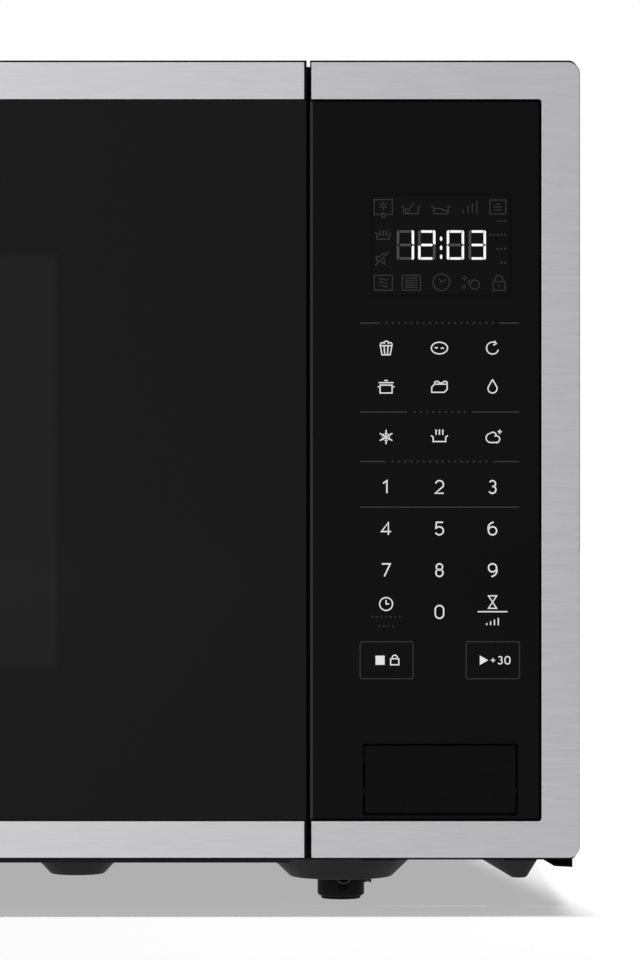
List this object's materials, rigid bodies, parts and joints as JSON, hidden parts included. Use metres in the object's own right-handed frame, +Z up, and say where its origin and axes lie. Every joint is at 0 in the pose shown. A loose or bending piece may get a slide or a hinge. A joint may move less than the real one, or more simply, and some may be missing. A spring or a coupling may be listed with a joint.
{
  "type": "countertop microwave oven",
  "caption": "Wide countertop microwave oven with a side-hinged glass door, touch keypad, clock display and push-button door release.",
  "frame": {"origin": "on the surface under the feet, below the middle of the oven's bounding box", "axes": "+X to the right seen from the front, +Y to the rear, +Z up"},
  "size_m": [0.611, 0.497, 0.3557],
  "materials": {
    "front_steel": "brushed along the width",
    "printed_glass": "glossy, printed black from behind",
    "clear_sheet": "glossy",
    "clear_glass": "glossy",
    "black_plastic": "fine grain",
    "black_gloss_plastic": "gloss",
    "white_plastic": "satin",
    "black_enamel": "satin powder coat",
    "cavity_enamel": "smooth enamel",
    "zinc_steel": "zinc coated",
    "spring_steel": "bright wire",
    "core_steel": "varnished laminations",
    "copper": "enamelled copper",
    "aluminium_sheet": "mill finish",
    "ferrite": "sintered",
    "mica": "flaky sheet",
    "green_board": "solder mask",
    "foot_rubber": "moulded"
  },
  "bodies": {
    "door": {"door_trim": "front_steel", "door_glass": "printed_glass", "door_frame": "black_plastic", "door_inner_panel": "black_enamel", "window_mesh": "black_enamel", "inner_window": "clear_sheet", "choke_cover": "black_plastic", "hook_pins": "zinc_steel", "hook_spring": "spring_steel"},
    "hooks": {"latch_hook": "white_plastic"},
    "cabinet": {"control_bezel": "front_steel", "control_glass": "printed_glass", "touch_film": "clear_sheet", "panel_carrier": "black_plastic", "display_module": "black_plastic", "control_board": "green_board", "power_relays": "black_plastic", "button_spring": "spring_steel", "front_plate": "cavity_enamel", "lower_hinge": "zinc_steel", "upper_hinge": "zinc_steel", "outer_cabinet": "black_enamel", "base_plate": "black_enamel", "feet": "foot_rubber", "cavity_wrap": "cavity_enamel", "cavity_floor": "cavity_enamel", "cavity_back": "cavity_enamel", "turntable_motor": "zinc_steel", "waveguide": "zinc_steel", "waveguide_cover": "mica", "magnetron_yoke": "zinc_steel", "magnetron_tube": "copper", "magnetron_fins": "aluminium_sheet", "magnetron_magnets": "ferrite", "magnetron_filter": "zinc_steel", "air_duct": "white_plastic", "transformer_core": "core_steel", "transformer_windings": "copper", "capacitor": "aluminium_sheet", "fan_shroud": "black_plastic", "fan_motor": "core_steel", "rear_panel": "zinc_steel", "cord_gland": "black_plastic", "latch_body": "white_plastic", "door_switches": "black_plastic", "lamp_socket": "white_plastic", "lamp_bulb": "clear_glass", "noise_filter_board": "green_board", "screws": "zinc_steel"},
    "release_key": {"release_button": "black_gloss_plastic"},
    "lever": {"open_lever": "white_plastic"},
    "drive": {"drive_shaft": "white_plastic", "drive_coupler": "white_plastic"},
    "ring": {"roller_ring": "white_plastic"},
    "roller_a": {"roller_1": "white_plastic"},
    "roller_b": {"roller_2": "white_plastic"},
    "roller_c": {"roller_3": "white_plastic"},
    "tray": {"glass_tray": "clear_glass"},
    "fan": {"fan_shaft": "zinc_steel", "fan_blade": "black_plastic"}
  },
  "joints": [
    {"name": "door_swing", "type": "hinge", "parent": "cabinet", "child": "door", "pos_m": [-0.2965, -0.2265, 0.19], "axis": [0, 0, -1], "range_deg": [0, 105]},
    {"name": "release_press", "type": "slide", "parent": "cabinet", "child": "release_key", "axis": [0, 1, 0], "range_m": [0, 0.006], "stiffness_N_per_m": 400, "springref_m": -0.006, "deforming": ["button_spring"]},
    {"name": "lever_turn", "type": "hinge", "parent": "cabinet", "child": "lever", "pos_m": [0.21, -0.2035, 0.08239], "axis": [1, 0, 0], "range_deg": [0, 20.5]},
    {"name": "hook_lift", "type": "slide", "parent": "door", "child": "hooks", "axis": [0, 0, 1], "range_m": [0, 0.0038], "deforming": ["hook_spring"]},
    {"name": "drive_spin", "type": "hinge", "parent": "cabinet", "child": "drive", "pos_m": [-0.0585, 0.0123, 0.06], "axis": [0, 0, 1], "continuous": true},
    {"name": "tray_lift", "type": "slide", "parent": "drive", "child": "tray", "axis": [0, 0, 1], "range_m": [0, 0.05]},
    {"name": "ring_spin", "type": "hinge", "parent": "cabinet", "child": "ring", "pos_m": [-0.0585, 0.0123, 0.066], "axis": [0, 0, 1], "continuous": true},
    {"name": "roller_a_spin", "type": "hinge", "parent": "ring", "child": "roller_a", "pos_m": [0.0435, 0.0123, 0.06605], "axis": [1, 0, 0], "continuous": true},
    {"name": "roller_b_spin", "type": "hinge", "parent": "ring", "child": "roller_b", "pos_m": [-0.1095, 0.10064, 0.06605], "axis": [-0.5, 0.866, 0], "continuous": true},
    {"name": "roller_c_spin", "type": "hinge", "parent": "ring", "child": "roller_c", "pos_m": [-0.1095, -0.07604, 0.06605], "axis": [-0.5, -0.866, 0], "continuous": true},
    {"name": "fan_spin", "type": "hinge", "parent": "cabinet", "child": "fan", "pos_m": [0.23572, 0.2, 0.2225], "axis": [0, 1, 0], "continuous": true}
  ],
  "couplings": [
    {"joint": "lever_turn", "follows": "release_press", "rad_per_m": 59.632},
    {"joint": "hook_lift", "follows": "release_press", "ratio": 0.6333},
    {"joint": "ring_spin", "follows": "drive_spin", "ratio": 0.5},
    {"joint": "roller_a_spin", "follows": "drive_spin", "ratio": -6},
    {"joint": "roller_b_spin", "follows": "drive_spin", "ratio": -6},
    {"joint": "roller_c_spin", "follows": "drive_spin", "ratio": -6}
  ]
}
